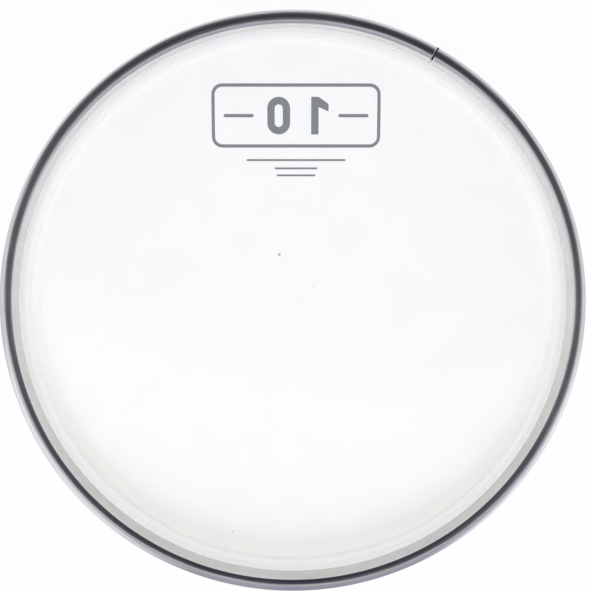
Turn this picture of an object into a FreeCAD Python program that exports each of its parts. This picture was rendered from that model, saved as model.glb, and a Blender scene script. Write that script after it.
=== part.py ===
import FreeCAD
import Part
import Sketcher
import math
import os

# Ten inch drum head: a clear polyester membrane with a white coating on its playing face,
# whose perforated margin is cast in resin inside an aluminium channel hoop.
# It is drawn as it lies on a table, playing face down: the coating rests on z = 0, the hoop's
# closed back is uppermost, the origin is the middle of the playing face and +Z leaves through
# the open side, where the drum shell goes in.

# Driving sizes, in millimetres and degrees
SIZES = [
    ("bore_diameter", 254.4, "inside of the hoop, which slips over the drum shell"),
    ("channel_width", 4.6, "hoop channel over both walls, radially"),
    ("channel_height", 9.5, "hoop channel from mouth to back"),
    ("strip_thickness", 0.9, "aluminium strip that the channel is rolled from"),
    ("strip_bend_radius", 0.5, "inside radius of the channel's two bends"),
    ("seam_angle", 61.6, "where the ends of the hoop meet, counted from +X"),
    ("seam_gap", 0.5, "between the ends of the hoop, filled by the weld"),
    ("weld_flash", 0.3, "how far the weld stands proud of the outer wall"),
    ("film_thickness", 0.305, "polyester sheet"),
    ("shoulder_inset", 2.6, "from the hoop's bore in to the edge of the level face"),
    ("shoulder_radius", 3.0, "inside radius of the bend from face to collar"),
    ("collar_depth", 9.5, "from the playing face to the mouth of the channel"),
    ("neck_radius", 2.0, "inside radius of the bend from collar to margin"),
    ("margin_gap", 1.2, "from the edge of the film to the floor of the channel"),
    ("perforation_diameter", 3.2, "holes in the margin that the resin runs through"),
    ("perforation_count", 72, "holes around the margin"),
    ("resin_recess", 0.4, "resin surface behind the mouth of the channel"),
    ("coating_thickness", 0.05, "sprayed coating on the playing face"),
    ("coating_inset", 1.5, "from the edge of the level face in to the edge of the coating"),
]

# Places that the pieces share, as expressions of the sizes
BORE = "sizes.bore_diameter / 2"
OUTSIDE = "sizes.bore_diameter / 2 + sizes.channel_width"
INNER_FACE = "sizes.bore_diameter / 2 + sizes.strip_thickness"
OUTER_FACE = "sizes.bore_diameter / 2 + sizes.channel_width - sizes.strip_thickness"
FLASH = OUTSIDE + " + sizes.weld_flash"
MOUTH = "sizes.collar_depth"
BACK = "sizes.collar_depth + sizes.channel_height"
FLOOR = BACK + " - sizes.strip_thickness"
INSIDE_BEND = "sizes.strip_bend_radius"
OUTSIDE_BEND = "sizes.strip_bend_radius + sizes.strip_thickness"
RESIN_FACE = MOUTH + " + sizes.resin_recess"
FILM_EDGE = FLOOR + " - sizes.margin_gap"
MARGIN = "(sizes.bore_diameter + sizes.channel_width - sizes.film_thickness) / 2"
LEVEL_RADIUS = "sizes.bore_diameter / 2 - sizes.shoulder_inset"
COATING_RADIUS = LEVEL_RADIUS + " - sizes.coating_inset"
PERFORATION_HEIGHT = "(" + RESIN_FACE + " + " + FILM_EDGE + ") / 2"
SEAM_SPAN = "2 * asin(sizes.seam_gap / (sizes.bore_diameter + sizes.channel_width)) / 1 deg"

START, END, MIDDLE = range(1, 4)
HEIGHT_AXIS, LEVEL_AXIS = range(-2, 0)
ORIGIN_POINT = (LEVEL_AXIS, START)
FULL_TURN = 360
DOWNWARD = -math.pi / 2

doc = FreeCAD.newDocument("drum_head")


def fill_sheet():
    sheet = doc.addObject("Spreadsheet::Sheet", "sizes")
    for row, (alias, value, meaning) in enumerate(SIZES, start=1):
        sheet.set(f"A{row}", alias)
        sheet.set(f"B{row}", str(value))
        sheet.set(f"C{row}", meaning)
        sheet.setAlias(f"B{row}", alias)
    doc.recompute()
    return sheet


def number(expression):
    value = sheet.evalExpression(expression)
    return float(getattr(value, "Value", value))


def new_body(label):
    body = doc.addObject("PartDesign::Body", label)
    body.Label = label
    return body


def new_sketch(body, name, role):
    sketch = body.newObject("Sketcher::SketchObject", name)
    plane = next(f for f in body.Origin.OriginFeatures if f.Role == role)
    sketch.AttachmentSupport = [(plane, "")]
    sketch.MapMode = "FlatFace"
    return sketch


def add_line(sketch, start, end):
    first = FreeCAD.Vector(start[0], start[1], 0)
    last = FreeCAD.Vector(end[0], end[1], 0)
    return sketch.addGeometry(Part.LineSegment(first, last), False)


def add_arc(sketch, centre, radius, start_angle, end_angle):
    middle = FreeCAD.Vector(centre[0], centre[1], 0)
    circle = Part.Circle(middle, FreeCAD.Vector(0, 0, 1), radius)
    return sketch.addGeometry(Part.ArcOfCircle(circle, start_angle, end_angle), False)


def relate(sketch, kind, *items):
    sketch.addConstraint(Sketcher.Constraint(kind, *items))


# A dimension of the sketch, named and bound to an expression of the sizes
def measure(sketch, name, kind, items, expression):
    index = sketch.addConstraint(Sketcher.Constraint(kind, *items, number(expression)))
    sketch.renameConstraint(index, name)
    sketch.setExpression("Constraints." + name, expression)


# A closed outline of level and upright sides. Each corner is (x, height, radius or None),
# all expressions, in anticlockwise order. Each side is held by its own distance from the origin,
# and a rounded corner by its radius and its tangency to both sides.
def square_outline(sketch, corners):
    count = len(corners)
    points = [(number(x), number(y)) for x, y, _ in corners]
    radii = [number(r) if r else 0 for _, _, r in corners]
    steps = []
    for i in range(count):
        (x0, y0), (x1, y1) = points[i], points[(i + 1) % count]
        length = math.hypot(x1 - x0, y1 - y0)
        steps.append(((x1 - x0) / length, (y1 - y0) / length))
    sides = []
    for i in range(count):
        nxt = (i + 1) % count
        start = tuple(points[i][k] + radii[i] * steps[i][k] for k in (0, 1))
        end = tuple(points[nxt][k] - radii[nxt] * steps[i][k] for k in (0, 1))
        side = add_line(sketch, start, end)
        sides.append(side)
        if corners[i][0] == corners[nxt][0]:
            relate(sketch, "Vertical", side)
            place_side(sketch, f"side_{i}", "DistanceX", side, corners[i][0])
        else:
            relate(sketch, "Horizontal", side)
            place_side(sketch, f"side_{i}", "DistanceY", side, corners[i][1])
    for i in range(count):
        before, after = sides[i - 1], sides[i]
        if not corners[i][2]:
            relate(sketch, "Coincident", before, END, after, START)
            continue
        incoming, outgoing = steps[i - 1], steps[i]
        centre = tuple(points[i][k] + radii[i] * (outgoing[k] - incoming[k]) for k in (0, 1))
        from_before = math.atan2(-outgoing[1], -outgoing[0])
        from_after = math.atan2(incoming[1], incoming[0])
        turns_left = incoming[0] * outgoing[1] - incoming[1] * outgoing[0] > 0
        if turns_left:
            arc = add_arc(sketch, centre, radii[i], from_before, from_after)
            touch_before, touch_after = START, END
        else:
            arc = add_arc(sketch, centre, radii[i], from_after, from_before)
            touch_before, touch_after = END, START
        relate(sketch, "Tangent", before, END, arc, touch_before)
        relate(sketch, "Tangent", arc, touch_after, after, START)
        measure(sketch, f"corner_{i}", "Radius", (arc,), corners[i][2])


def place_side(sketch, name, kind, side, expression):
    if expression == "0":
        axis = HEIGHT_AXIS if kind == "DistanceX" else LEVEL_AXIS
        relate(sketch, "PointOnObject", side, START, axis)
    else:
        measure(sketch, name, kind, (*ORIGIN_POINT, side, START), expression)


# Turns the profile about the height axis, all the way round unless an angle is given
def revolve(body, name, sketch, angle=None):
    turned = body.newObject("PartDesign::Revolution", name)
    turned.Profile = sketch
    turned.ReferenceAxis = (sketch, ["V_Axis"])
    turned.Angle = FULL_TURN
    if angle:
        turned.setExpression("Angle", angle)
    body.Tip = turned
    return turned


# Turns a finished piece about the height axis to where it sits on the hoop
def turn_to(body, angle):
    body.Placement = FreeCAD.Placement(
        FreeCAD.Vector(0, 0, 0), FreeCAD.Rotation(FreeCAD.Vector(0, 0, 1), number(angle))
    )
    body.setExpression("Placement.Rotation.Angle", angle)


# Hoop: a strip rolled to a channel whose mouth faces the playing side, bent round until its ends
# all but meet at the seam
def make_hoop_channel():
    body = new_body("hoop_channel")
    sketch = new_sketch(body, "channel_section", "XZ_Plane")
    square_outline(
        sketch,
        [
            (BORE, MOUTH, None),
            (INNER_FACE, MOUTH, None),
            (INNER_FACE, FLOOR, INSIDE_BEND),
            (OUTER_FACE, FLOOR, INSIDE_BEND),
            (OUTER_FACE, MOUTH, None),
            (OUTSIDE, MOUTH, None),
            (OUTSIDE, BACK, OUTSIDE_BEND),
            (BORE, BACK, OUTSIDE_BEND),
        ],
    )
    revolve(body, "channel_turn", sketch, f"{FULL_TURN} - {SEAM_SPAN}")
    turn_to(body, f"sizes.seam_angle + ({SEAM_SPAN}) / 2")
    return body


# Weld across the seam: the channel's own section, dressed flush on the back and in the bore and
# left proud on the outer wall
def make_seam_weld():
    body = new_body("seam_weld")
    sketch = new_sketch(body, "weld_section", "XZ_Plane")
    square_outline(
        sketch,
        [
            (BORE, MOUTH, None),
            (INNER_FACE, MOUTH, None),
            (INNER_FACE, FLOOR, INSIDE_BEND),
            (OUTER_FACE, FLOOR, INSIDE_BEND),
            (OUTER_FACE, MOUTH, None),
            (FLASH, MOUTH, None),
            (FLASH, BACK, OUTSIDE_BEND),
            (BORE, BACK, OUTSIDE_BEND),
        ],
    )
    revolve(body, "weld_turn", sketch, SEAM_SPAN)
    turn_to(body, f"sizes.seam_angle - ({SEAM_SPAN}) / 2")
    return body


# Section of the membrane: level face, shoulder bend, collar, neck bend and upright margin,
# all one sheet thick. The collar is the common tangent of the two bends.
def draw_membrane_section(sketch):
    sheet_thickness = number("sizes.film_thickness")
    shoulder = number("sizes.shoulder_radius")
    neck = number("sizes.neck_radius")
    underside = number("sizes.coating_thickness")
    edge = number(FILM_EDGE)
    shoulder_centre = (number(LEVEL_RADIUS), underside + sheet_thickness + shoulder)
    neck_centre = (number(MARGIN) - neck, number(MOUTH))
    across = neck_centre[0] - shoulder_centre[0]
    up = neck_centre[1] - shoulder_centre[1]
    slope = math.atan2(up, across) - math.asin((neck - shoulder) / math.hypot(across, up))
    to_collar = slope + DOWNWARD

    def on_bend(centre, radius, angle):
        return (centre[0] + radius * math.cos(angle), centre[1] + radius * math.sin(angle))

    # one face of the sheet, from the axis out to the edge, with both bends this much larger
    def draw_face(offset):
        level_height = underside + sheet_thickness - offset
        level_end = (shoulder_centre[0], level_height)
        level = add_line(sketch, (0, level_height), level_end)
        shoulder_arc = add_arc(sketch, shoulder_centre, shoulder + offset, DOWNWARD, to_collar)
        collar_start = on_bend(shoulder_centre, shoulder + offset, to_collar)
        collar_end = on_bend(neck_centre, neck + offset, to_collar)
        collar = add_line(sketch, collar_start, collar_end)
        neck_arc = add_arc(sketch, neck_centre, neck + offset, to_collar, 0)
        margin_start = on_bend(neck_centre, neck + offset, 0)
        margin = add_line(sketch, margin_start, (margin_start[0], edge))
        relate(sketch, "Horizontal", level)
        relate(sketch, "Vertical", margin)
        relate(sketch, "PointOnObject", level, START, HEIGHT_AXIS)
        chain = [level, shoulder_arc, collar, neck_arc, margin]
        for first, second in zip(chain, chain[1:]):
            relate(sketch, "Tangent", first, END, second, START)
        return chain

    level_in, shoulder_in, _, neck_in, margin_in = draw_face(0)
    level_out, shoulder_out, _, neck_out, margin_out = draw_face(sheet_thickness)
    inner_edge = on_bend(neck_centre, neck, 0)
    outer_edge = on_bend(neck_centre, neck + sheet_thickness, 0)
    edge_side = add_line(sketch, (outer_edge[0], edge), (inner_edge[0], edge))
    middle_side = add_line(sketch, (0, underside + sheet_thickness), (0, underside))
    relate(sketch, "Coincident", margin_out, END, edge_side, START)
    relate(sketch, "Coincident", edge_side, END, margin_in, END)
    relate(sketch, "Horizontal", edge_side)
    relate(sketch, "Coincident", level_in, START, middle_side, START)
    relate(sketch, "Coincident", middle_side, END, level_out, START)
    relate(sketch, "Coincident", shoulder_in, MIDDLE, shoulder_out, MIDDLE)
    relate(sketch, "Coincident", neck_in, MIDDLE, neck_out, MIDDLE)
    from_origin = ORIGIN_POINT
    measure(sketch, "underside", "DistanceY", (*from_origin, level_out, START), "sizes.coating_thickness")
    sheet_ends = (middle_side, END, middle_side, START)
    measure(sketch, "middle_sheet", "DistanceY", sheet_ends, "sizes.film_thickness")
    measure(sketch, "edge_sheet", "DistanceX", (edge_side, END, edge_side, START), "sizes.film_thickness")
    measure(sketch, "shoulder", "Radius", (shoulder_in,), "sizes.shoulder_radius")
    measure(sketch, "neck", "Radius", (neck_in,), "sizes.neck_radius")
    measure(sketch, "level", "DistanceX", (*from_origin, shoulder_in, MIDDLE), LEVEL_RADIUS)
    measure(sketch, "margin", "DistanceX", (*from_origin, margin_in, END), MARGIN)
    measure(sketch, "mouth", "DistanceY", (*from_origin, neck_in, MIDDLE), MOUTH)
    measure(sketch, "edge", "DistanceY", (*from_origin, edge_side, START), FILM_EDGE)


# Membrane: the turned sheet, with a ring of perforations through its margin
def make_membrane_film():
    body = new_body("membrane_film")
    section = new_sketch(body, "membrane_section", "XZ_Plane")
    draw_membrane_section(section)
    revolve(body, "membrane_turn", section)
    doc.recompute()
    whole = body.Shape.Volume
    sketch = new_sketch(body, "perforation_outline", "YZ_Plane")
    sketch.setExpression("AttachmentOffset.Base.z", INNER_FACE)
    centre = FreeCAD.Vector(0, number(PERFORATION_HEIGHT), 0)
    radius = number("sizes.perforation_diameter") / 2
    hole = sketch.addGeometry(Part.Circle(centre, FreeCAD.Vector(0, 0, 1), radius), False)
    relate(sketch, "PointOnObject", hole, MIDDLE, HEIGHT_AXIS)
    measure(sketch, "height", "DistanceY", (*ORIGIN_POINT, hole, MIDDLE), PERFORATION_HEIGHT)
    measure(sketch, "width", "Diameter", (hole,), "sizes.perforation_diameter")
    pocket = body.newObject("PartDesign::Pocket", "perforation")
    pocket.Profile = sketch
    pocket.Reversed = True
    pocket.setExpression("Length", f"{OUTER_FACE} - ({INNER_FACE})")
    body.Tip = pocket
    doc.recompute()
    ring = body.newObject("PartDesign::PolarPattern", "perforations")
    ring.Originals = [pocket]
    ring.Axis = (section, ["V_Axis"])
    ring.Angle = FULL_TURN
    ring.setExpression("Occurrences", "sizes.perforation_count")
    body.Tip = ring
    doc.recompute()
    punched = math.pi * radius**2 * number("sizes.film_thickness") * number("sizes.perforation_count")
    removed = whole - body.Shape.Volume
    print(f"perforations take {removed:.1f} mm3 of film, {punched:.1f} expected")
    if abs(removed - punched) > 0.05 * punched:
        raise RuntimeError("the perforations did not all cut through the margin")
    return body


# Resin: fills the channel round the margin, from its floor to just behind its mouth. Cutting the
# film out of it leaves a peg through every perforation.
def make_resin_lock(film):
    blank = new_body("resin_fill")
    sketch = new_sketch(blank, "resin_section", "XZ_Plane")
    square_outline(
        sketch,
        [
            (INNER_FACE, RESIN_FACE, None),
            (OUTER_FACE, RESIN_FACE, None),
            (OUTER_FACE, FLOOR, INSIDE_BEND),
            (INNER_FACE, FLOOR, INSIDE_BEND),
        ],
    )
    revolve(blank, "resin_turn", sketch)
    resin = doc.addObject("Part::Cut", "resin_lock")
    resin.Label = "resin_lock"
    resin.Base = blank
    resin.Tool = film
    return resin


# Coating: a thin disc on the playing face, ending just short of the shoulder
def make_batter_coating():
    body = new_body("batter_coating")
    sketch = new_sketch(body, "coating_section", "XZ_Plane")
    square_outline(
        sketch,
        [
            ("0", "0", None),
            (COATING_RADIUS, "0", None),
            (COATING_RADIUS, "sizes.coating_thickness", None),
            ("0", "sizes.coating_thickness", None),
        ],
    )
    revolve(body, "coating_turn", sketch)
    return body


def check_document():
    for item in doc.Objects:
        if {"Invalid", "Error"} & set(item.State):
            raise RuntimeError(f"{item.Label} failed: {item.State}")
        if item.isDerivedFrom("Sketcher::SketchObject") and not item.FullyConstrained:
            raise RuntimeError(f"{item.Label} is not fully constrained")


def check_piece(piece):
    shape = piece.Shape
    if shape.isNull() or not shape.isValid() or len(shape.Solids) != 1:
        raise RuntimeError(f"{piece.Label} is not one valid solid")
    box = shape.optimalBoundingBox()
    print(
        f"{piece.Label}: {shape.Volume:.1f} mm3, "
        f"{box.XLength:.2f} x {box.YLength:.2f} x {box.ZLength:.2f} mm, "
        f"from z {box.ZMin:.3f} to {box.ZMax:.3f}"
    )


sheet = fill_sheet()
hoop = make_hoop_channel()
weld = make_seam_weld()
film = make_membrane_film()
resin = make_resin_lock(film)
coating = make_batter_coating()
pieces = [hoop, weld, film, resin, coating]
doc.recompute()
check_document()
for piece in pieces:
    check_piece(piece)
os.makedirs("parts", exist_ok=True)
for piece in pieces:
    piece.Shape.exportStep(f"parts/{piece.Label}.step")
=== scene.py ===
import math
import bmesh
import bpy
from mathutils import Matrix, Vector, noise


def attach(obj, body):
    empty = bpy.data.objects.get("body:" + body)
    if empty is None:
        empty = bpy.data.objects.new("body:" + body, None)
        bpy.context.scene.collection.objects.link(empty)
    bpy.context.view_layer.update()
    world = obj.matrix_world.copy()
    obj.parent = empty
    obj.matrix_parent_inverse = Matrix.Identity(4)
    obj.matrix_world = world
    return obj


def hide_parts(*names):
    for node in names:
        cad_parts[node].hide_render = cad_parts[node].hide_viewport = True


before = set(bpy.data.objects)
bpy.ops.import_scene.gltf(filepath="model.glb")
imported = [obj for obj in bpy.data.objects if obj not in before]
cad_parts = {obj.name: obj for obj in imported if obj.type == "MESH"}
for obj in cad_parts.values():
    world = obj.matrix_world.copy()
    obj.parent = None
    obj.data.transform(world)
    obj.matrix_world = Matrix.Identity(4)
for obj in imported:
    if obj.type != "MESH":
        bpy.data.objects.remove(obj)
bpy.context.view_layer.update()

mm = 0.001
scene = bpy.context.scene
scene.view_settings.view_transform = "Standard"


def linear(hexColour):
    values = [int(hexColour[i:i + 2], 16) / 255 for i in (1, 3, 5)]
    return tuple(v / 12.92 if v <= 0.04045 else ((v + 0.055) / 1.055) ** 2.4 for v in values) + (1.0,)


def addNode(tree, kind, values=None, links=None, stops=None, **settings):
    made = tree.nodes.new(kind)
    for name, value in settings.items():
        setattr(made, name, value)
    for socket, value in (values or {}).items():
        made.inputs[socket].default_value = value
    for socket, source in (links or {}).items():
        tree.links.new(source, made.inputs[socket])
    if stops:  # colour ramp as (place, linear colour)
        elements = made.color_ramp.elements
        elements.remove(elements[-1])
        for i, (place, colour) in enumerate(stops):
            stop = elements[0] if i == 0 else elements.new(place)
            stop.position = place
            stop.color = colour
    return made


def newMaterial(name):
    material = bpy.data.materials.new(name)
    material.use_nodes = True
    material.node_tree.nodes.clear()
    tree = material.node_tree
    return material, tree, addNode(tree, "ShaderNodeTexCoord").outputs["Object"]


# how far a place lies from the axis
def axisRadius(tree, part):
    flat = addNode(tree, "ShaderNodeCombineXYZ", links={"X": part["X"], "Y": part["Y"]})
    length = addNode(tree, "ShaderNodeVectorMath", links={0: flat.outputs[0]}, operation="LENGTH")
    return length.outputs["Value"]


# 1 for the camera's own rays, and for what it sees mirrored or through the film
def viewRays(tree):
    ray = addNode(tree, "ShaderNodeLightPath").outputs
    seen = addNode(
        tree, "ShaderNodeMath", links={0: ray["Is Camera Ray"], 1: ray["Is Glossy Ray"]},
        operation="MAXIMUM")
    shown = addNode(
        tree, "ShaderNodeMath", links={0: seen.outputs[0], 1: ray["Is Transmission Ray"]},
        operation="MAXIMUM")
    return shown.outputs[0]


# merges doubles, turns faces outwards and shades smooth except over sharp edges
def tidyMesh(mesh, sharpAngle=35):
    shape = bmesh.new()
    shape.from_mesh(mesh)
    bmesh.ops.remove_doubles(shape, verts=shape.verts, dist=1e-7)
    bmesh.ops.recalc_face_normals(shape, faces=shape.faces)
    for face in shape.faces:
        face.smooth = True
    shape.to_mesh(mesh)
    shape.free()
    mesh.set_sharp_from_angle(angle=math.radians(sharpAngle))
    return mesh


def meshFrom(name, build, size):
    shape = bmesh.new()
    build(shape, size)
    mesh = bpy.data.meshes.new(name)
    shape.to_mesh(mesh)
    shape.free()
    return tidyMesh(mesh)


# a finished mesh becomes a piece at the origin that stands for CAD nodes
def keepPiece(name, mesh, material, slot, *nodes):
    mesh.materials.clear()
    mesh.materials.append(material)
    piece = bpy.data.objects.new(name, mesh)
    scene.collection.objects.link(piece)
    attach(piece, "root")
    if nodes:
        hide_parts(*nodes)
    print("piece", name, len(mesh.polygons), "faces")


# a Geometry Nodes tree with named inputs; sizes are (name, socket type, value)
def newTree(name, sizes):
    tree = bpy.data.node_groups.new(name, "GeometryNodeTree")
    for label, kind, _ in [("Geometry", "NodeSocketGeometry", None)] + sizes:
        tree.interface.new_socket(label, in_out="INPUT", socket_type=kind)
    tree.interface.new_socket("Geometry", in_out="OUTPUT", socket_type="NodeSocketGeometry")
    return tree, addNode(tree, "NodeGroupInput").outputs


# ends a tree, runs it on a mesh and gives the plain mesh that comes out
def runTree(tree, result, sizes, mesh):
    given = tree.nodes["Group Input"].outputs
    real = addNode(tree, "GeometryNodeRealizeInstances", links={0: result})
    clad = addNode(
        tree, "GeometryNodeSetMaterial", links={"Geometry": real.outputs[0], "Material": given["Material"]})
    addNode(tree, "NodeGroupOutput", links={"Geometry": clad.outputs[0]})
    carrier = bpy.data.objects.new(tree.name, mesh)
    scene.collection.objects.link(carrier)
    modifier = carrier.modifiers.new(tree.name, "NODES")
    modifier.node_group = tree
    sockets = {item.name: item.identifier for item in tree.interface.items_tree if item.in_out == "INPUT"}
    for label, _, value in sizes:
        modifier[sockets[label]] = value
    evaluated = carrier.evaluated_get(bpy.context.evaluated_depsgraph_get())
    made = bpy.data.meshes.new_from_object(evaluated)
    carrier.modifiers.remove(modifier)
    bpy.data.objects.remove(carrier)
    print("tree", tree.name, len(made.polygons), "faces")
    return tidyMesh(made)


def arcPoints(centre, radius, start, end, steps):
    turn = [math.radians(start + (end - start) * i / steps) for i in range(steps + 1)]
    return [(centre[0] + radius * math.cos(a), centre[1] + radius * math.sin(a)) for a in turn]


# Hoop metal: roll-formed aluminium strip with its mill finish. It mirrors softly, is greyer than
# polished metal and shows fine lines along the strip where the rolls have dragged
def rolledAluminium():
    material, tree, place = newMaterial("rolledAluminium")
    part = addNode(tree, "ShaderNodeSeparateXYZ", links={0: place}).outputs
    angle = addNode(tree, "ShaderNodeMath", links={0: part["Y"], 1: part["X"]}, operation="ARCTAN2")
    # 3.5 mm of pattern to a radian draws each line out along the hoop
    drag = addNode(tree, "ShaderNodeMath", {1: 3.5 * mm}, {0: angle.outputs[0]}, operation="MULTIPLY")
    along = addNode(
        tree, "ShaderNodeCombineXYZ",
        links={"X": axisRadius(tree, part), "Y": part["Z"], "Z": drag.outputs[0]})
    # roll lines drawn 1.1 mm apart, coarser than life so that they show
    lines = addNode(
        tree, "ShaderNodeTexNoise", {"Scale": 1 / (1.1 * mm), "Detail": 3.0, "Roughness": 0.65},
        {"Vector": along.outputs[0]})
    # dull patches some 15 mm long
    patches = addNode(
        tree, "ShaderNodeTexNoise", {"Scale": 1 / (15 * mm), "Detail": 4.0}, {"Vector": place})
    both = addNode(
        tree, "ShaderNodeMath", links={0: lines.outputs["Fac"], 1: patches.outputs["Fac"]}, operation="ADD")
    rough = addNode(
        tree, "ShaderNodeMapRange", {"From Min": 0.6, "From Max": 1.4, "To Min": 0.07, "To Max": 0.16},
        {"Value": both.outputs[0]})
    shade = addNode(
        tree, "ShaderNodeValToRGB", links={"Fac": patches.outputs["Fac"]},
        stops=[(0.3, linear("#cececd")), (0.7, linear("#d6d6d5"))])
    bump = addNode(
        tree, "ShaderNodeBump", {"Strength": 0.8, "Distance": 0.06 * mm}, {"Height": lines.outputs["Fac"]})
    surface = addNode(
        tree, "ShaderNodeBsdfPrincipled", {"Metallic": 1.0},
        {"Base Color": shade.outputs["Color"], "Roughness": rough.outputs["Result"],
         "Normal": bump.outputs["Normal"]})
    addNode(tree, "ShaderNodeOutputMaterial", links={"Surface": surface.outputs[0]})
    return material


# Weld metal: aluminium melted across the seam. On the back it is nearly black, as oxide and as painted
# shade of the seam's gap, and the file has brightened it on the walls
def dressedWeld(size):
    material, tree, place = newMaterial("dressedWeld")
    grains = addNode(
        tree, "ShaderNodeTexNoise", {"Scale": 1 / (0.5 * mm), "Detail": 3.0}, {"Vector": place})
    part = addNode(tree, "ShaderNodeSeparateXYZ", links={0: place}).outputs
    height = addNode(
        tree, "ShaderNodeMapRange",
        {"From Min": size["filedBelow"] * mm, "From Max": size["oxideAndGapShadeAbove"] * mm}, {"Value": part["Z"]})
    filed = addNode(
        tree, "ShaderNodeValToRGB", links={"Fac": grains.outputs["Fac"]},
        stops=[(0.3, linear("#b4b4b8")), (0.7, linear("#d2d2d4"))])
    # nearly black on the back: oxide together with painted shade of the seam's gap
    oxideAndGapShade = addNode(
        tree, "ShaderNodeValToRGB", links={"Fac": grains.outputs["Fac"]},
        stops=[(0.3, linear("#34343a")), (0.7, linear("#56565e"))])
    shade = addNode(
        tree, "ShaderNodeMix",
        links={0: height.outputs["Result"], 6: filed.outputs["Color"], 7: oxideAndGapShade.outputs["Color"]},
        data_type="RGBA")
    rough = addNode(
        tree, "ShaderNodeMapRange", {"To Min": 0.3, "To Max": 0.55}, {"Value": grains.outputs["Fac"]})
    bump = addNode(
        tree, "ShaderNodeBump", {"Strength": 0.5, "Distance": 0.05 * mm}, {"Height": grains.outputs["Fac"]})
    surface = addNode(
        tree, "ShaderNodeBsdfPrincipled", {"Metallic": 1.0},
        {"Base Color": shade.outputs[2], "Roughness": rough.outputs["Result"],
         "Normal": bump.outputs["Normal"]})
    addNode(tree, "ShaderNodeOutputMaterial", links={"Surface": surface.outputs[0]})
    return material


# Film: clear polyester sheet, calendered and heat-formed. It is seen through, and shows by its gloss,
# which grows as it turns away and breaks up a little in the sheet's slow waves
def clearPolyester(size):
    material, tree, place = newMaterial("clearPolyester")
    # slack waves in the sheet, some 35 mm long
    waves = addNode(tree, "ShaderNodeTexNoise", {"Scale": 1 / (35 * mm), "Detail": 1.0}, {"Vector": place})
    bump = addNode(
        tree, "ShaderNodeBump", {"Strength": 0.3, "Distance": 0.6 * mm}, {"Height": waves.outputs["Fac"]})
    scuffs = addNode(
        tree, "ShaderNodeTexNoise", {"Scale": 1 / (4 * mm), "Detail": 5.0}, {"Vector": place})
    rough = addNode(
        tree, "ShaderNodeMapRange", {"To Min": 0.05, "To Max": 0.14}, {"Value": scuffs.outputs["Fac"]})
    gloss = addNode(
        tree, "ShaderNodeBsdfPrincipled", {"Base Color": linear("#ffffff"), "Metallic": 1.0},
        {"Roughness": rough.outputs["Result"], "Normal": bump.outputs["Normal"]})
    see = addNode(tree, "ShaderNodeBsdfTransparent", {"Color": linear("#fefefe")})
    # a dielectric's reflection by angle: 3 percent head on, all of it edge on
    turned = addNode(tree, "ShaderNodeLayerWeight")
    power = addNode(
        tree, "ShaderNodeMath", {1: 5.0}, {0: turned.outputs["Facing"]}, operation="POWER")
    share = addNode(
        tree, "ShaderNodeMath", {1: 0.97, 2: 0.03}, {0: power.outputs[0]}, operation="MULTIPLY_ADD")
    # the level sheet is clear, and forming has left the bend milky and the collar a little cloudy
    part = addNode(tree, "ShaderNodeSeparateXYZ", links={0: place}).outputs
    radius = axisRadius(tree, part)
    slopes = []
    for edge, start, end in (
            (size["bendEdge"], 0.0, size["milky"]), (size["collarEdge"], size["milky"], size["cloudy"])):
        slopes.append(addNode(
            tree, "ShaderNodeMapRange",
            {"From Min": edge[0] * mm, "From Max": edge[1] * mm, "To Min": start, "To Max": end},
            {"Value": radius}).outputs["Result"])
    cloudy = addNode(tree, "ShaderNodeMath", links={0: slopes[0], 1: slopes[1]}, operation="MINIMUM")
    # counted once for the sheet, where a ray goes in
    leaving = addNode(tree, "ShaderNodeNewGeometry").outputs["Backfacing"]
    milky = addNode(
        tree, "ShaderNodeMix", {3: 0.0}, {0: leaving, 2: cloudy.outputs[0]}, data_type="FLOAT")
    haze = addNode(tree, "ShaderNodeBsdfDiffuse", {"Color": linear("#eaebec")})
    sheet = addNode(
        tree, "ShaderNodeMixShader", links={0: milky.outputs[0], 1: see.outputs[0], 2: haze.outputs[0]})
    mixed = addNode(
        tree, "ShaderNodeMixShader", links={0: share.outputs[0], 1: sheet.outputs[0], 2: gloss.outputs[0]})
    addNode(tree, "ShaderNodeOutputMaterial", links={"Surface": mixed.outputs[0]})
    return material


# Coating: white vinyl paint sprayed on the playing side. Matt, faintly cool, with a sandy grain and a
# few grey specks; the grain is drawn at 0.6 mm, coarser than life, so that it shows
def sprayedCoating(size):
    material, tree, place = newMaterial("sprayedCoating")
    mottle = addNode(
        tree, "ShaderNodeTexNoise", {"Scale": 1 / (22 * mm), "Detail": 3.0}, {"Vector": place})
    colour = addNode(
        tree, "ShaderNodeValToRGB", links={"Fac": mottle.outputs["Fac"]},
        stops=[(0.3, linear("#f4f5f5")), (0.7, linear("#f6f7f7"))]).outputs["Color"]
    for x, y, across, shade in size["specks"]:
        spot = (x * mm, y * mm, size["speckHeight"] * mm)
        away = addNode(tree, "ShaderNodeVectorMath", {1: spot}, {0: place}, operation="DISTANCE")
        mask = addNode(
            tree, "ShaderNodeMapRange",
            {"From Min": 0.35 * across * mm, "From Max": 0.65 * across * mm, "To Min": 1.0, "To Max": 0.0},
            {"Value": away.outputs["Value"]})
        colour = addNode(
            tree, "ShaderNodeMix", {7: linear(shade)}, {0: mask.outputs["Result"], 6: colour},
            data_type="RGBA").outputs[2]
    grain = addNode(
        tree, "ShaderNodeTexNoise", {"Scale": 1 / (0.6 * mm), "Detail": 2.0}, {"Vector": place})
    bump = addNode(
        tree, "ShaderNodeBump", {"Strength": 0.5, "Distance": 0.04 * mm}, {"Height": grain.outputs["Fac"]})
    surface = addNode(
        tree, "ShaderNodeBsdfPrincipled", {"Roughness": 0.85, "Specular IOR Level": 0.2},
        {"Base Color": colour, "Normal": bump.outputs["Normal"]})
    addNode(tree, "ShaderNodeOutputMaterial", links={"Surface": surface.outputs[0]})
    return material


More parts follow.
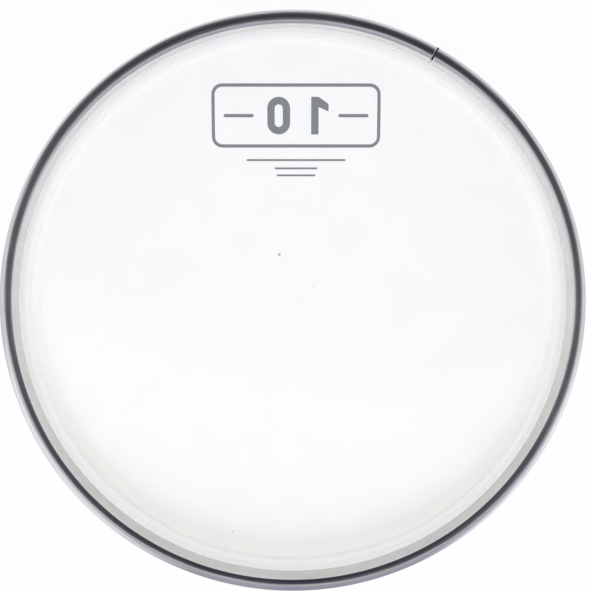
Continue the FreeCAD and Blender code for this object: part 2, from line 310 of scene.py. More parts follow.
# Resin: epoxy poured into the channel and set. Amber, glossy, a little cloudy, with flow ripples
def pouredResin():
    material, tree, place = newMaterial("pouredResin")
    cloud = addNode(tree, "ShaderNodeTexNoise", {"Scale": 1 / (6 * mm), "Detail": 4.0}, {"Vector": place})
    shade = addNode(
        tree, "ShaderNodeValToRGB", links={"Fac": cloud.outputs["Fac"]},
        stops=[(0.3, linear("#a8935f")), (0.7, linear("#cbb98a"))])
    bump = addNode(
        tree, "ShaderNodeBump", {"Strength": 0.4, "Distance": 0.2 * mm}, {"Height": cloud.outputs["Fac"]})
    surface = addNode(
        tree, "ShaderNodeBsdfPrincipled", {"Roughness": 0.28, "IOR": 1.55},
        {"Base Color": shade.outputs["Color"], "Normal": bump.outputs["Normal"]})
    addNode(tree, "ShaderNodeOutputMaterial", links={"Surface": surface.outputs[0]})
    return material


# Ink: grey screen print between film and coating, a little uneven where the mesh has laid less
def screenInk():
    material, tree, place = newMaterial("screenInk")
    lay = addNode(tree, "ShaderNodeTexNoise", {"Scale": 1 / (0.8 * mm), "Detail": 4.0}, {"Vector": place})
    shade = addNode(
        tree, "ShaderNodeValToRGB", links={"Fac": lay.outputs["Fac"]},
        stops=[(0.25, linear("#7f8188")), (0.75, linear("#8e9096"))])
    surface = addNode(
        tree, "ShaderNodeBsdfPrincipled", {"Roughness": 0.7, "Specular IOR Level": 0.3},
        {"Base Color": shade.outputs["Color"]})
    addNode(tree, "ShaderNodeOutputMaterial", links={"Surface": surface.outputs[0]})
    return material


# lengths in this and the other dictionaries are in mm, and angles in degrees, unless a note says more
hoopMake = {
    # bore, outside and the middle of the crown are radii; mouth and back are heights
    "bore": 126.55, "boreLean": 0.4, "outside": 131.79, "mouth": 9.5, "back": 19.0, "strip": 0.9,
    "innerBend": 0.4, "outerBend": 0.4, "insideBend": 0.5, "lip": 0.14, "crown": 8.5, "crownMiddle": 129.8,
    "lipSteps": 4, "innerSteps": 10, "outerSteps": 14, "insideSteps": 5, "crownSteps": 10,
    # steps round the hoop, how much they bunch up at the seam, and the share that the ends are dressed down
    "steps": 720, "bunch": 0.9, "seamAngle": 61.6, "seamGap": 0.9, "pinch": 0.012, "pinchReach": 0.35,
}


# the channel's section in mm as (radius, height): outer wall, crowned back, bore wall, then the inside;
# the bore wall leans in towards the back
def hoopSection(size):
    bore, outside, mouth = size["bore"], size["outside"], size["mouth"]
    neck = bore - size["boreLean"]
    inner, outer, lip = size["innerBend"], size["outerBend"], size["lip"]
    crown, middle = size["crown"], size["crownMiddle"]
    crownCentre = (middle, size["back"] - crown)
    innerRise = math.sqrt((crown - inner) ** 2 - (middle - neck - inner) ** 2)
    outerRise = math.sqrt((crown - outer) ** 2 - (outside - outer - middle) ** 2)
    innerCentre = (neck + inner, crownCentre[1] + innerRise)
    outerCentre = (outside - outer, crownCentre[1] + outerRise)
    innerTilt = math.degrees(math.atan2(innerRise, neck + inner - middle))
    outerTilt = math.degrees(math.atan2(outerRise, outside - outer - middle))
    innerFace, outerFace = bore + size["strip"], outside - size["strip"]
    floor, bend = size["back"] - size["strip"], size["insideBend"]
    lipSteps, insideSteps = size["lipSteps"], size["insideSteps"]
    points = arcPoints((outside - lip, mouth + lip), lip, -90, 0, lipSteps)
    points += arcPoints(outerCentre, outer, 0, outerTilt, size["outerSteps"])
    points += arcPoints(crownCentre, crown, outerTilt, innerTilt, size["crownSteps"])[1:-1]
    points += arcPoints(innerCentre, inner, innerTilt, 180, size["innerSteps"])
    points += arcPoints((bore + lip, mouth + lip), lip, 180, 270, lipSteps)
    points += arcPoints((innerFace - lip, mouth + lip), lip, 270, 360, lipSteps)
    points += arcPoints((neck + size["strip"] + bend, floor - bend), bend, 180, 90, insideSteps)
    points += arcPoints((outerFace - bend, floor - bend), bend, 90, 0, insideSteps)
    points += arcPoints((outerFace + lip, mouth + lip), lip, 180, 270, lipSteps)
    return points


# radius and height of the section's middle
def sectionMiddle(size):
    return (size["bore"] + size["outside"]) / 2, (size["mouth"] + size["back"]) / 2


# the section swept round from one side of the seam to the other; near the seam the steps bunch up
# and the ends are dressed down to a shallow groove
def hoopMesh(size, material):
    middle, height = sectionMiddle(size)
    curve = bpy.data.curves.new("hoopSection", "CURVE")
    spline = curve.splines.new("POLY")
    points = hoopSection(size)
    spline.points.add(len(points) - 1)
    for point, (r, z) in zip(spline.points, points):
        point.co = ((r - middle) * mm, (height - z) * mm, 0, 1)
    spline.use_cyclic_u = True
    section = bpy.data.objects.new("hoopSection", curve)
    scene.collection.objects.link(section)
    gap = size["seamGap"] / middle
    sizes = [
        ("Section", "NodeSocketObject", section),
        ("Radius", "NodeSocketFloat", middle * mm),
        ("Height", "NodeSocketFloat", height * mm),
        ("Steps", "NodeSocketInt", size["steps"]),
        ("Bunch", "NodeSocketFloat", -size["bunch"] / (2 * math.pi)),
        ("Start", "NodeSocketFloat", math.radians(size["seamAngle"]) + gap / 2),
        ("Sweep", "NodeSocketFloat", 2 * math.pi - gap),
        ("Pinch", "NodeSocketFloat", -size["pinch"]),
        ("Pinch Reach", "NodeSocketFloat", size["pinchReach"] * mm),
        ("Material", "NodeSocketMaterial", material),
    ]
    tree, given = newTree("bendStrip", sizes)
    arc = addNode(
        tree, "GeometryNodeCurveArc", {"Sweep Angle": math.pi},
        {"Resolution": given["Steps"], "Radius": given["Radius"]}, mode="RADIUS")
    share = addNode(tree, "GeometryNodeSplineParameter").outputs["Factor"]
    lap = addNode(tree, "ShaderNodeMath", {1: 2 * math.pi}, {0: share}, operation="MULTIPLY")
    swing = addNode(tree, "ShaderNodeMath", links={0: lap.outputs[0]}, operation="SINE")
    bunched = addNode(
        tree, "ShaderNodeMath", links={0: swing.outputs[0], 1: given["Bunch"], 2: share},
        operation="MULTIPLY_ADD")
    angle = addNode(
        tree, "ShaderNodeMath", links={0: bunched.outputs[0], 1: given["Sweep"], 2: given["Start"]},
        operation="MULTIPLY_ADD")
    # on the finished path the factor goes by length
    rest = addNode(tree, "ShaderNodeMath", {0: 1.0}, {1: share}, operation="SUBTRACT")
    nearer = addNode(tree, "ShaderNodeMath", links={0: share, 1: rest.outputs[0]}, operation="MINIMUM")
    turn = addNode(
        tree, "ShaderNodeMath", links={0: nearer.outputs[0], 1: given["Sweep"]}, operation="MULTIPLY")
    fromSeam = addNode(
        tree, "ShaderNodeMath", links={0: turn.outputs[0], 1: given["Radius"]}, operation="MULTIPLY")
    pinch = addNode(
        tree, "ShaderNodeMapRange", {"To Max": 0.0},
        {"Value": fromSeam.outputs[0], "From Max": given["Pinch Reach"], "To Min": given["Pinch"]},
        interpolation_type="SMOOTHERSTEP")
    scale = addNode(tree, "ShaderNodeMath", {1: 1.0}, {0: pinch.outputs["Result"]}, operation="ADD")
    across = addNode(tree, "ShaderNodeMath", links={0: angle.outputs[0]}, operation="COSINE")
    up = addNode(tree, "ShaderNodeMath", links={0: angle.outputs[0]}, operation="SINE")
    x = addNode(
        tree, "ShaderNodeMath", links={0: across.outputs[0], 1: given["Radius"]}, operation="MULTIPLY")
    y = addNode(
        tree, "ShaderNodeMath", links={0: up.outputs[0], 1: given["Radius"]}, operation="MULTIPLY")
    spot = addNode(
        tree, "ShaderNodeCombineXYZ", links={"X": x.outputs[0], "Y": y.outputs[0], "Z": given["Height"]})
    path = addNode(
        tree, "GeometryNodeSetPosition",
        links={"Geometry": arc.outputs["Curve"], "Position": spot.outputs[0]})
    upright = addNode(tree, "GeometryNodeSetCurveNormal", links={"Curve": path.outputs[0]}, mode="Z_UP")
    profile = addNode(tree, "GeometryNodeObjectInfo", links={"Object": given["Section"]})
    swept = addNode(
        tree, "GeometryNodeCurveToMesh", {"Fill Caps": True},
        {"Curve": upright.outputs["Curve"], "Profile Curve": profile.outputs["Geometry"],
         "Scale": scale.outputs[0]})
    mesh = runTree(tree, swept.outputs["Mesh"], sizes, bpy.data.meshes.new("hoopChannel"))
    bpy.data.objects.remove(section)
    return mesh


hoopMetal = rolledAluminium()
keepPiece("hoopChannel", hoopMesh(hoopMake, hoopMetal), hoopMetal, "hoop_aluminium", "hoop_channel")

weldMake = {
    # above the last of these heights the weld is nearly black, as oxide and as painted shade of the seam's
    # gap
    "shrink": 0.97, "filedBelow": 17.1, "oxideAndGapShadeAbove": 17.7,
    # the bead's ends, its size, how deep it sits in the wall and where it bows in over the bend
    "beadLow": 10.2, "beadHigh": 18.5, "beadWidth": 1.8, "beadProud": 0.3, "beadBack": 0.1,
    "beadSink": 0.12, "bowFrom": 17.4, "bow": 0.9, "taper": 0.4, "rows": 26, "columns": 12,
    # the burr's height, and its place and spread as shares of the bead's length
    "burr": 0.7, "burrPlace": 0.9, "burrSpread": 0.07,
}


# a plug of weld in the seam, a little below the strip, and the bead that is left on the outer wall
def weldShape(shape, size):
    seam = math.radians(hoopMake["seamAngle"])
    middle, height = sectionMiddle(hoopMake)

    def spot(radius, along, z):
        x = radius * math.cos(seam) - along * math.sin(seam)
        y = radius * math.sin(seam) + along * math.cos(seam)
        return shape.verts.new((x * mm, y * mm, z * mm))

    ends = []
    for along in (-hoopMake["seamGap"] / 2, hoopMake["seamGap"] / 2):
        ends.append([
            spot(middle + (r - middle) * size["shrink"], along, height + (z - height) * size["shrink"])
            for r, z in hoopSection(hoopMake)])
    count = len(ends[0])
    for i in range(count):
        j = (i + 1) % count
        shape.faces.new([ends[0][i], ends[0][j], ends[1][j], ends[1][i]])
    shape.faces.new(ends[0][::-1])
    shape.faces.new(ends[1])
    rows, columns = size["rows"], size["columns"]
    wall = hoopMake["outside"] - size["beadSink"]
    bead = []
    for i in range(rows + 1):
        k = i / rows
        z = size["beadLow"] + (size["beadHigh"] - size["beadLow"]) * k
        taper = math.sin(math.pi * k) ** size["taper"] if 0 < i < rows else 0.0
        lump = 0.75 + 0.5 * noise.noise(Vector((k * 7, 3.1, 0)))
        burr = size["burr"] * math.exp(-((k - size["burrPlace"]) / size["burrSpread"]) ** 2)
        proud = size["beadProud"] * lump + burr
        bow = wall - max(0.0, z - size["bowFrom"]) ** 2 * size["bow"]
        width = size["beadWidth"] * (0.8 + 0.4 * noise.noise(Vector((k * 5, 8.2, 0))) + 0.4 * k) / 2
        ring = []
        for c in range(columns):
            a = 2 * math.pi * c / columns
            out = (proud if math.cos(a) > 0 else size["beadBack"]) * math.cos(a)
            ring.append(spot(bow + out * taper, width * taper * math.sin(a), z))
        bead.append(ring)
    for lower, upper in zip(bead, bead[1:]):
        for c in range(columns):
            d = (c + 1) % columns
            shape.faces.new([lower[c], lower[d], upper[d], upper[c]])


keepPiece("seamWeld", meshFrom("seamWeld", weldShape, weldMake),
          dressedWeld(weldMake), "weld_aluminium", "seam_weld")

filmMake = {
    "sheet": 0.305, "underside": 0.05, "level": 124.6, "shoulder": 3.0, "neck": 2.0, "mouth": 9.5,
    "margin": 129.3475, "edge": 16.9, "holeHeight": 13.4, "hole": 3.2, "count": 72,
    # rings of the level face by radius, steps of the bends and of the collar, and rows of a sector
    "rings": (0, 8, 30, 60, 85, 100, 110, 116, 119, 121, 122.5, 123.6), "bendSteps": 12, "flareSteps": 5,
    "collarSteps": 9, "columns": 10, "marginRows": 6, "ripple": 0.25, "rippleFoot": 2.0,
    # shares of haze in the bend and next to the hoop, and the radii between which they set in
    "milky": 0.59, "bendEdge": (124.0, 125.0), "cloudy": 0.22, "collarEdge": (126.2, 128.0),
}


# the sheet's middle line in mm as (radius, height, direction of its outer side), axis to margin's foot
def filmPath(size):
    half = size["sheet"] / 2
    shoulder, neck = size["shoulder"] + half, size["neck"] + half
    low = size["underside"] + half
    shoulderCentre = (size["level"], low + shoulder)
    neckCentre = (size["margin"] - size["neck"], size["mouth"])
    across, up = neckCentre[0] - shoulderCentre[0], neckCentre[1] - shoulderCentre[1]
    slope = math.atan2(up, across) - math.asin((neck - shoulder) / math.hypot(across, up))
    turn = math.degrees(slope) - 90
    bendSteps, flareSteps, collarSteps = size["bendSteps"], size["flareSteps"], size["collarSteps"]
    path = [(r, low, -90.0) for r in size["rings"]]
    bend = [(r, z, -90 + (turn + 90) * i / bendSteps)
            for i, (r, z) in enumerate(arcPoints(shoulderCentre, shoulder, -90, turn, bendSteps))]
    flare = [(r, z, turn * (1 - i / flareSteps))
             for i, (r, z) in enumerate(arcPoints(neckCentre, neck, turn, 0, flareSteps))]
    run = []
    for i in range(1, collarSteps):
        k = i / collarSteps
        run.append((bend[-1][0] + (flare[0][0] - bend[-1][0]) * k,
                    bend[-1][1] + (flare[0][1] - bend[-1][1]) * k, turn))
    return path + bend + run + flare


# one sector of the sheet with its own perforation, both faces and edges, centred on +X
def filmSector(shape, size):
    columns, rows = size["columns"], size["marginRows"]
    half, path = size["sheet"] / 2, filmPath(size)
    spread = 2 * math.pi / size["count"]
    angles = [spread * (i / columns - 0.5) for i in range(columns + 1)]
    foot, top, mid = path[-1], size["edge"], size["holeHeight"]

    def spot(r, z, a):
        return shape.verts.new((r * math.cos(a) * mm, r * math.sin(a) * mm, z * mm))

    edges = []
    for side in (-1, 1):
        grid = []
        for r, z, normal in path:
            n = math.radians(normal)
            grid.append([spot(max(r + side * half * math.cos(n), 0), z + side * half * math.sin(n), a)
                         for a in angles])
        for lower, upper in zip(grid, grid[1:]):
            for i in range(columns):
                middle = [lower[i]] if lower is grid[0] else [lower[i], lower[i + 1]]
                shape.faces.new([*middle, upper[i + 1], upper[i]])
        # the margin: a patch whose border is drawn in to the perforation
        r = foot[0] + side * half
        border = [(a, foot[1]) for a in angles]
        border += [(angles[-1], foot[1] + (top - foot[1]) * i / rows) for i in range(1, rows)]
        border += [(a, top) for a in reversed(angles)]
        border += [(angles[0], top - (top - foot[1]) * i / rows) for i in range(1, rows)]
        rings = [[] for _ in range(4)]
        for a, z in border:
            aim = math.atan2(z - mid, a * r)
            hole = (size["hole"] / 2 * math.cos(aim) / r, mid + size["hole"] / 2 * math.sin(aim))
            for ring, share in zip(rings, (0, 0.45, 0.8, 1)):
                ring.append(spot(r, z + (hole[1] - z) * share, a + (hole[0] - a) * share))
        for outer, inner in zip(rings, rings[1:]):
            for i in range(len(border)):
                j = (i + 1) % len(border)
                shape.faces.new([outer[i], outer[j], inner[j], inner[i]])
        edges.append((rings[3] + rings[3][:1], rings[0][columns + rows:2 * columns + rows + 1]))
    for below, above in zip(*edges):
        for i in range(len(below) - 1):
            shape.faces.new([below[i], below[i + 1], above[i + 1], above[i]])


def filmMesh(size, material):
    sizes = [
        ("Count", "NodeSocketInt", size["count"]),
        ("Ripple", "NodeSocketFloat", size["ripple"] * mm),
        ("Ripple Foot", "NodeSocketFloat", size["rippleFoot"] * mm),
        ("Ripple Full", "NodeSocketFloat", size["mouth"] * mm),
        ("Material", "NodeSocketMaterial", material),
    ]
    tree, given = newTree("repeatSector", sizes)
    centre = addNode(tree, "GeometryNodeMeshCircle", {"Radius": 0.0}, {"Vertices": given["Count"]})
    order = addNode(tree, "GeometryNodeInputIndex")
    step = addNode(tree, "ShaderNodeMath", {0: 2 * math.pi}, {1: given["Count"]}, operation="DIVIDE")
    turn = addNode(
        tree, "ShaderNodeMath", links={0: order.outputs[0], 1: step.outputs[0]}, operation="MULTIPLY")
    facing = addNode(tree, "ShaderNodeCombineXYZ", links={"Z": turn.outputs[0]})
    copies = addNode(
        tree, "GeometryNodeInstanceOnPoints",
        links={"Points": centre.outputs["Mesh"], "Instance": given["Geometry"],
               "Rotation": facing.outputs[0]})
    real = addNode(tree, "GeometryNodeRealizeInstances", links={0: copies.outputs[0]})
    joined = addNode(
        tree, "GeometryNodeMergeByDistance", {"Distance": 2e-6}, {"Geometry": real.outputs[0]})
    # ripples: the collar is drawn in and out once for each perforation, more the nearer it is to the hoop
    place = addNode(tree, "GeometryNodeInputPosition")
    part = addNode(tree, "ShaderNodeSeparateXYZ", links={0: place.outputs[0]}).outputs
    angle = addNode(tree, "ShaderNodeMath", links={0: part["Y"], 1: part["X"]}, operation="ARCTAN2")
    phase = addNode(
        tree, "ShaderNodeMath", links={0: angle.outputs[0], 1: given["Count"]}, operation="MULTIPLY")
    wave = addNode(tree, "ShaderNodeMath", links={0: phase.outputs[0]}, operation="COSINE")
    grow = addNode(
        tree, "ShaderNodeMapRange", {"To Min": 0.0},
        {"Value": part["Z"], "From Min": given["Ripple Foot"], "From Max": given["Ripple Full"],
         "To Max": given["Ripple"]}, interpolation_type="SMOOTHSTEP")
    reach = addNode(
        tree, "ShaderNodeMath", links={0: wave.outputs[0], 1: grow.outputs["Result"]}, operation="MULTIPLY")
    flat = addNode(tree, "ShaderNodeCombineXYZ", links={"X": part["X"], "Y": part["Y"]})
    outward = addNode(tree, "ShaderNodeVectorMath", links={0: flat.outputs[0]}, operation="NORMALIZE")
    shift = addNode(
        tree, "ShaderNodeVectorMath", links={0: outward.outputs[0], "Scale": reach.outputs[0]},
        operation="SCALE")
    rippled = addNode(
        tree, "GeometryNodeSetPosition", links={"Geometry": joined.outputs[0], "Offset": shift.outputs[0]})
    sector = meshFrom("membraneFilm", filmSector, size)
    return runTree(tree, rippled.outputs[0], sizes, sector)


filmPlastic = clearPolyester(filmMake)
keepPiece("membraneFilm", filmMesh(filmMake, filmPlastic), filmPlastic, "clear_film", "membrane_film")

coatMake = {
    "radius": 124.4, "top": 0.042, "rings": (40, 80, 105, 118), "turns": 360,
    # how far the edge wanders, from where it thins, and the share of the layer that is gone at the edge
    "feather": 0.25, "thinning": 1.2, "gone": 0.65,
    # size and start of the noise that the edge wanders by
    "waves": 9, "drift": 11.8,
    # dust under the spray as (x, y, width, colour), and its height
    "speckHeight": 0.04,
    "specks": [(-6.4, 25.9, 1.0, "#7f8287"), (9.5, 10.9, 0.7, "#c9cccf"), (4.0, 5.0, 0.6, "#cfd2d4"),
               (-29.6, -111.2, 0.8, "#a5a8ab")],
}


# sprayed disc whose edge wanders a little and thins out
def coatShape(shape, size):
    turns, top = size["turns"], size["top"] * mm
    rims = []
    for side in (0, 1):
        before = [shape.verts.new((0, 0, 0 if side else top))]
        for r in (*size["rings"], size["radius"] - size["thinning"], None):
            now = []
            for i in range(turns):
                a = 2 * math.pi * i / turns
                wave = (math.cos(a) * size["waves"] + size["drift"], math.sin(a) * size["waves"], 0)
                wander = noise.noise(Vector(wave)) - 1
                reach = (size["radius"] + wander * size["feather"] if r is None else r) * mm
                low = size["gone"] * top if r is None else 0
                z = low if side else top
                now.append(shape.verts.new((reach * math.cos(a), reach * math.sin(a), z)))
            for i in range(turns):
                j = (i + 1) % turns
                inner = before if len(before) == 1 else [before[j], before[i]]
                shape.faces.new([*inner, now[i], now[j]])
            before = now
        rims.append(before)
    for i in range(turns):
        j = (i + 1) % turns
        shape.faces.new([rims[0][i], rims[0][j], rims[1][j], rims[1][i]])


keepPiece("batterCoating", meshFrom("batterCoating", coatShape, coatMake),
          sprayedCoating(coatMake), "white_coating", "batter_coating")

markMake = {
    "centre": (1.4, 90.0), "frame": (78.0, 29.0), "frameRound": 5.0, "line": 1.5,
    "low": 0.0435, "high": 0.0475, "corner": 10,
    # numerals: height, stroke, places across, width of the nought as a share of its height
    "numeral": 17.0, "stroke": 3.4, "nought": -8.0, "noughtShare": 0.62, "one": 7.0,
    # flag of the one: its reach, and how far below the top it joins the stem, dips and ends
    "flag": 4.6, "flagJoin": 4.6, "flagDip": 6.6, "flagEnd": 3.2,
    # dashes beside the number as place and length, and rules below as (y, length)
    "dash": (26.5, 14.0), "rules": [(69.8, 46.0), (66.0, 20.0), (62.8, 18.0)], "rule": 0.9,
}


# a plain printed size mark, the number of inches in a frame over three rules; it reads from the
# playing side
def markShape(shape, size):
    cx, cy = size["centre"]
    low, high = size["low"] * mm, size["high"] * mm

    def rounded(x, y, width, height, radius):
        points = []
        for sx, sy, start in ((1, 1, 0), (-1, 1, 90), (-1, -1, 180), (1, -1, 270)):
            corner = (x + sx * (width / 2 - radius), y + sy * (height / 2 - radius))
            points += arcPoints(corner, radius, start, start + 90, size["corner"])
        return points

    def solid(outer, inner=None):
        loops = [[[shape.verts.new((x * mm, y * mm, z)) for x, y in loop] for z in (low, high)]
                 for loop in ((outer, inner) if inner else (outer,))]
        for below, above in loops:
            for i in range(len(below)):
                j = (i + 1) % len(below)
                shape.faces.new([below[i], below[j], above[j], above[i]])
        for level in (0, 1):
            if inner:
                first, second = loops[0][level], loops[1][level]
                for i in range(len(first)):
                    j = (i + 1) % len(first)
                    shape.faces.new([first[i], first[j], second[j], second[i]])
            else:
                shape.faces.new(loops[0][level])

    width, height = size["frame"]
    line, tall, stroke = size["line"], size["numeral"], size["stroke"]
    solid(rounded(cx, cy, width, height, size["frameRound"]),
          rounded(cx, cy, width - 2 * line, height - 2 * line, size["frameRound"] - line))
    apart = 0.01  # keeps the ends of neighbouring arcs from meeting
    wide, place = size["noughtShare"] * tall, cx + size["nought"]
    solid(rounded(place, cy, wide, tall, wide / 2 - apart),
          rounded(place, cy, wide - 2 * stroke, tall - 2 * stroke, wide / 2 - stroke - apart))
    left, right = cx + size["one"], cx + size["one"] + stroke
    foot, head, tip = cy - tall / 2, cy + tall / 2, right + size["flag"]
    solid([(left, foot), (right, foot), (right, head - size["flagJoin"]), (tip, head - size["flagDip"]),
           (tip, head - size["flagEnd"]), (right, head), (left, head)])
    away, long = size["dash"]
    for side in (-1, 1):
        solid(rounded(cx + side * away, cy, long, line, line / 2 - apart))
    for y, long in size["rules"]:
        solid(rounded(cx, y, long, size["rule"], size["rule"] / 2 - apart))


keepPiece("sizeMark", meshFrom("sizeMark", markShape, markMake), screenInk(), None)

# the poured resin keeps its CAD solid, with a peg through every perforation
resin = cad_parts["resin_lock"]
resin.data.materials.clear()
resin.data.materials.append(pouredResin())

# the floor's size is in metres
floorMake = {
    # shade, with its centre and edge, is a painted shadow of the hoop on the floor: the share of glow it
    # takes away, where it is centred and where it fades out
    "size": 3.0, "drop": 0.05, "glow": 0.8, "shade": 0.5,
    "paintedShadowCentre": (0.0, -8.0), "paintedShadowEdge": (119.0, 123.5),
}


# Floor: white paper sweep, matt with a faint fibre grain; part of its white is its own, for the camera
# and what mirrors or passes its view, so that the object's shadow stays but is faint. Under the near side
# of the hoop it has less of that white: a painted shadow of the hoop, soft-edged and set towards -Y
def paperSweep(size):
    material, tree, place = newMaterial("paperSweep")
    fibre = addNode(tree, "ShaderNodeTexNoise", {"Scale": 1 / (2 * mm), "Detail": 3.0}, {"Vector": place})
    shade = addNode(
        tree, "ShaderNodeValToRGB", links={"Fac": fibre.outputs["Fac"]},
        stops=[(0.3, linear("#f1f1f2")), (0.7, linear("#f4f4f5"))])
    paper = addNode(
        tree, "ShaderNodeBsdfPrincipled", {"Roughness": 0.95, "Specular IOR Level": 0.1},
        {"Base Color": shade.outputs["Color"]})
    white = addNode(tree, "ShaderNodeEmission", {"Color": (1, 1, 1, 1), "Strength": 1.0})
    # painted shadow: within a soft disc under the hoop, set towards -Y, the floor has less of its own white
    centre = [v * mm for v in size["paintedShadowCentre"]] + [-size["drop"] * mm]
    away = addNode(tree, "ShaderNodeVectorMath", {1: centre}, {0: place}, operation="DISTANCE")
    glowWithPaintedShadow = addNode(
        tree, "ShaderNodeMapRange",
        {"From Min": size["paintedShadowEdge"][0] * mm, "From Max": size["paintedShadowEdge"][1] * mm,
         "To Min": size["glow"] * (1 - size["shade"]), "To Max": size["glow"]},
        {"Value": away.outputs["Value"]})
    share = addNode(
        tree, "ShaderNodeMath", links={0: viewRays(tree), 1: glowWithPaintedShadow.outputs["Result"]}, operation="MULTIPLY")
    mixed = addNode(
        tree, "ShaderNodeMixShader", links={0: share.outputs[0], 1: paper.outputs[0], 2: white.outputs[0]})
    addNode(tree, "ShaderNodeOutputMaterial", links={"Surface": mixed.outputs[0]})
    return material


def floorShape(shape, size):
    half, low = size["size"] / 2, -size["drop"] * mm
    corners = ((-1, -1), (1, -1), (1, 1), (-1, 1))
    shape.faces.new([shape.verts.new((x * half, y * half, low)) for x, y in corners])


floorMesh = meshFrom("paperFloor", floorShape, floorMake)
floorMesh.materials.append(paperSweep(floorMake))
floor = bpy.data.objects.new("paperFloor", floorMesh)
scene.collection.objects.link(floor)

# directions in the room go by their X, Y and Z parts, and lamps are in metres
lightMake = {
    # brightness of the room by distance from the middle of the dark patch overhead, which is stretched
    # along X and leans towards +X -Y
    "patch": (0.0, 0.12), "stretch": (0.85, 1.06), "skew": 0.2,
    "patchTint": (0.93, 0.91, 1.25), "roomTint": (0.985, 0.985, 1.045), "tintEdge": 0.42,
    "room": [(0.0, 0.06), (0.12, 0.065), (0.2, 0.1), (0.27, 0.14), (0.32, 0.18), (0.38, 0.43), (0.43, 0.95),
             (0.5, 1.0), (0.66, 0.87), (1.0, 0.82)],
    # it is dimmer towards -Y, and cool in the middle of that side
    "dim": 0.58, "dimEdge": (-0.45, -0.1), "dimTint": (0.95, 0.96, 1.1, 1.0),
    "coolEdge": (-0.28, -0.55), "coolMiddle": 0.1, "coolWidth": (0.2, 0.5),
    # a soft light to either side of it: (azimuth, tilt, width, strength)
    "sides": [(225, 41, 20, 0.8), (319, 48, 21, 0.8)],
    # level near the horizon, and how much of the room lights matt surfaces
    "low": 1.26, "lowEdge": (0.6, 0.3), "share": 0.42,
    # lamps as (place, size, power, colour)
    "lamps": {
        "overhead": ((0.0, 0.06, 0.7), 0.26, 3.5, "#fffcf6"),
        "key": ((0.0, -1.6, 1.7), 1.6, 14.0, "#e2eeff"),
    },
}


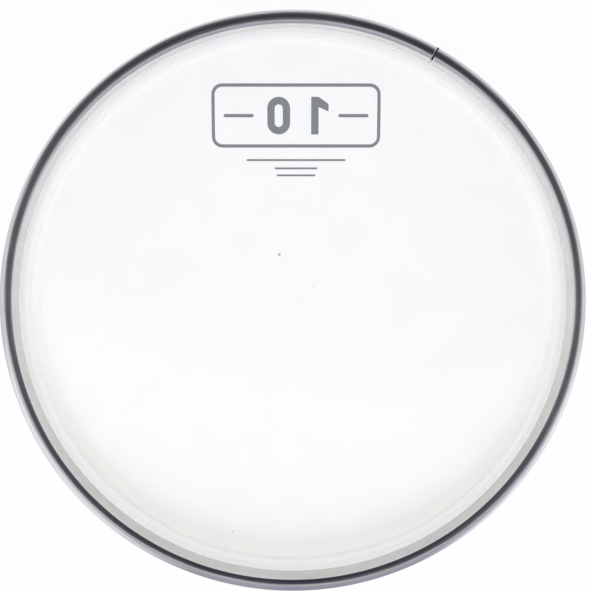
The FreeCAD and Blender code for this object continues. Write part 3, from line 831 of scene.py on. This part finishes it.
def lightRoom(size):
    world = bpy.data.worlds.new("softRoom")
    scene.world = world
    world.use_nodes = True
    tree = world.node_tree
    tree.nodes.clear()
    aim = addNode(tree, "ShaderNodeTexCoord").outputs["Generated"]
    part = addNode(tree, "ShaderNodeSeparateXYZ", links={0: aim}).outputs
    across = addNode(tree, "ShaderNodeMath", {1: size["patch"][0]}, {0: part["X"]}, operation="SUBTRACT")
    up = addNode(tree, "ShaderNodeMath", {1: size["patch"][1]}, {0: part["Y"]}, operation="SUBTRACT")
    wide = addNode(
        tree, "ShaderNodeMath", {1: size["stretch"][0]}, {0: across.outputs[0]}, operation="MULTIPLY")
    tall = addNode(
        tree, "ShaderNodeMath", {1: size["stretch"][1]}, {0: up.outputs[0]}, operation="MULTIPLY")
    skewed = addNode(
        tree, "ShaderNodeMath", {1: size["skew"]}, {0: up.outputs[0], 2: wide.outputs[0]},
        operation="MULTIPLY_ADD")
    level = addNode(tree, "ShaderNodeCombineXYZ", links={"X": skewed.outputs[0], "Y": tall.outputs[0]})
    away = addNode(tree, "ShaderNodeVectorMath", links={0: level.outputs[0]}, operation="LENGTH")
    stops = []
    for place, bright in size["room"]:
        mix = min(place / size["tintEdge"], 1)
        tint = [a + (b - a) * mix for a, b in zip(size["patchTint"], size["roomTint"])]
        stops.append((place, (*[bright * t for t in tint], 1)))
    ramp = addNode(tree, "ShaderNodeValToRGB", links={"Fac": away.outputs["Value"]}, stops=stops)
    dimFrom, dimTo = size["dimEdge"]
    strength = addNode(
        tree, "ShaderNodeMapRange",
        {"From Min": dimFrom, "From Max": dimTo, "To Min": size["dim"], "To Max": 1.0},
        {"Value": part["Y"]}, interpolation_type="SMOOTHSTEP").outputs["Result"]
    # cool only in the middle of the dim side
    coolFrom, coolTo = size["coolEdge"]
    ahead = addNode(
        tree, "ShaderNodeMapRange", {"From Min": coolFrom, "From Max": coolTo}, {"Value": part["Y"]})
    beside = addNode(tree, "ShaderNodeMath", {1: size["coolMiddle"]}, {0: part["X"]}, operation="SUBTRACT")
    off = addNode(tree, "ShaderNodeMath", links={0: beside.outputs[0]}, operation="ABSOLUTE")
    coolHalf, coolEnd = size["coolWidth"]
    middle = addNode(
        tree, "ShaderNodeMapRange",
        {"From Min": coolHalf, "From Max": coolEnd, "To Min": 1.0, "To Max": 0.0},
        {"Value": off.outputs[0]})
    cool = addNode(
        tree, "ShaderNodeMath", links={0: ahead.outputs["Result"], 1: middle.outputs["Result"]},
        operation="MULTIPLY")
    colour = addNode(
        tree, "ShaderNodeMix", {7: size["dimTint"]}, {0: cool.outputs[0], 6: ramp.outputs["Color"]},
        data_type="RGBA", blend_type="MULTIPLY").outputs[2]
    for azimuth, tilt, width, bright in size["sides"]:
        a, t = math.radians(azimuth), math.radians(tilt)
        heading = (math.sin(t) * math.cos(a), math.sin(t) * math.sin(a), math.cos(t))
        near = addNode(tree, "ShaderNodeVectorMath", {1: heading}, {0: aim}, operation="DOT_PRODUCT")
        glow = addNode(
            tree, "ShaderNodeMapRange",
            {"From Min": math.cos(math.radians(width)), "From Max": math.cos(math.radians(width / 3)),
             "To Min": 0.0, "To Max": bright},
            {"Value": near.outputs["Value"]}, interpolation_type="SMOOTHSTEP")
        strength = addNode(
            tree, "ShaderNodeMath", links={0: strength, 1: glow.outputs["Result"]},
            operation="ADD").outputs[0]
    lowFrom, lowTo = size["lowEdge"]
    low = addNode(
        tree, "ShaderNodeMapRange", {"From Min": lowFrom, "From Max": lowTo},
        {"Value": part["Z"]}, interpolation_type="SMOOTHSTEP")
    strength = addNode(
        tree, "ShaderNodeMix", {3: size["low"]}, {0: low.outputs["Result"], 2: strength},
        data_type="FLOAT").outputs[0]
    # the camera, metal and clear film see the whole room, and matt surfaces get a share of its light
    share = addNode(
        tree, "ShaderNodeMapRange", {"To Min": size["share"], "To Max": 1.0}, {"Value": viewRays(tree)})
    strength = addNode(
        tree, "ShaderNodeMath", links={0: strength, 1: share.outputs["Result"]},
        operation="MULTIPLY").outputs[0]
    room = addNode(tree, "ShaderNodeBackground", links={"Color": colour, "Strength": strength})
    addNode(tree, "ShaderNodeOutputWorld", links={"Surface": room.outputs[0]})
    for name, (place, breadth, power, tint) in size["lamps"].items():
        lamp = bpy.data.lights.new(name, "AREA")
        lamp.shape = "DISK"
        lamp.size = breadth
        lamp.energy = power
        lamp.color = linear(tint)[:3]
        holder = bpy.data.objects.new(name, lamp)
        holder.location = place
        holder.rotation_euler = (-Vector(place)).to_track_quat("-Z", "Y").to_euler()
        holder.visible_glossy = False
        scene.collection.objects.link(holder)


lightRoom(lightMake)
print("room lit by", len(lightMake["lamps"]), "lamps")

# the camera's place is in metres, its focus and the longer side of the photograph's frame in pixels
cameraMake = {
    "place": (-0.00021, 0.0437, 0.325), "turn": (-6.549, -0.198, -0.011),
    "focus": 687.54, "frame": 591, "sensor": 36.0, "near": 0.01,
}
lens = bpy.data.cameras.new("camera")
lens.sensor_width = cameraMake["sensor"]
lens.lens = cameraMake["sensor"] * cameraMake["focus"] / cameraMake["frame"]
lens.clip_start = cameraMake["near"]
camera = bpy.data.objects.new("camera", lens)
camera.location = cameraMake["place"]
camera.rotation_euler = [math.radians(a) for a in cameraMake["turn"]]
scene.collection.objects.link(camera)
scene.camera = camera
